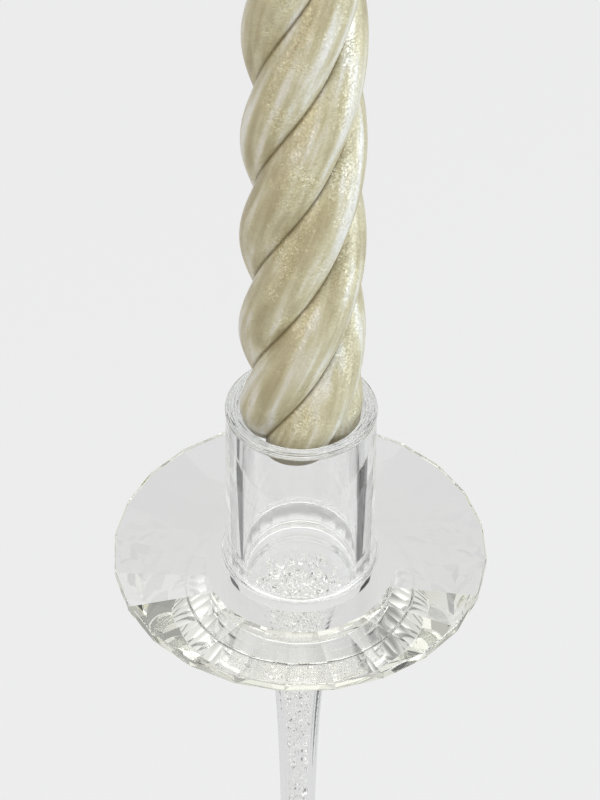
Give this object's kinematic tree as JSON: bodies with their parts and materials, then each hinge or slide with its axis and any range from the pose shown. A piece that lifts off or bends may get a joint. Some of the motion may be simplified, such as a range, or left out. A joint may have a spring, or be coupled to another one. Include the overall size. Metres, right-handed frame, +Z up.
{
  "type": "taper candle holder",
  "caption": "Crystal taper candle holder: glass cup in a facet-cut drip disc on a chip-filled trumpet stem and facet-cut foot, with a twisted taper candle.",
  "frame": {"origin": "middle of the foot's underside, on the table", "axes": "+Z up along the stem and the candle, -Y towards the picture's camera"},
  "size_m": [0.0878, 0.0878, 0.4505],
  "materials": {
    "crystal": "polished, clear",
    "clear_glass": "fire-polished, clear",
    "crystal_chips": "facet-cut, clear",
    "clear_adhesive": "clear cured film",
    "pearl_wax": "champagne pearl, satin",
    "cotton_wick": "cotton"
  },
  "bodies": {
    "holder": {"foot": "crystal", "stem_foot_bond": "clear_adhesive", "stem": "clear_glass", "crystal_fill": "crystal_chips", "stem_head_bond": "clear_adhesive", "drip_disc": "crystal", "cup_bond": "clear_adhesive", "candle_cup": "clear_glass"},
    "taper": {"candle": "pearl_wax", "wick": "cotton_wick"}
  },
  "joints": [
    {"name": "candle_lift", "type": "slide", "parent": "holder", "child": "taper", "axis": [0, 0, 1], "range_m": [0, 0.04]}
  ]
}
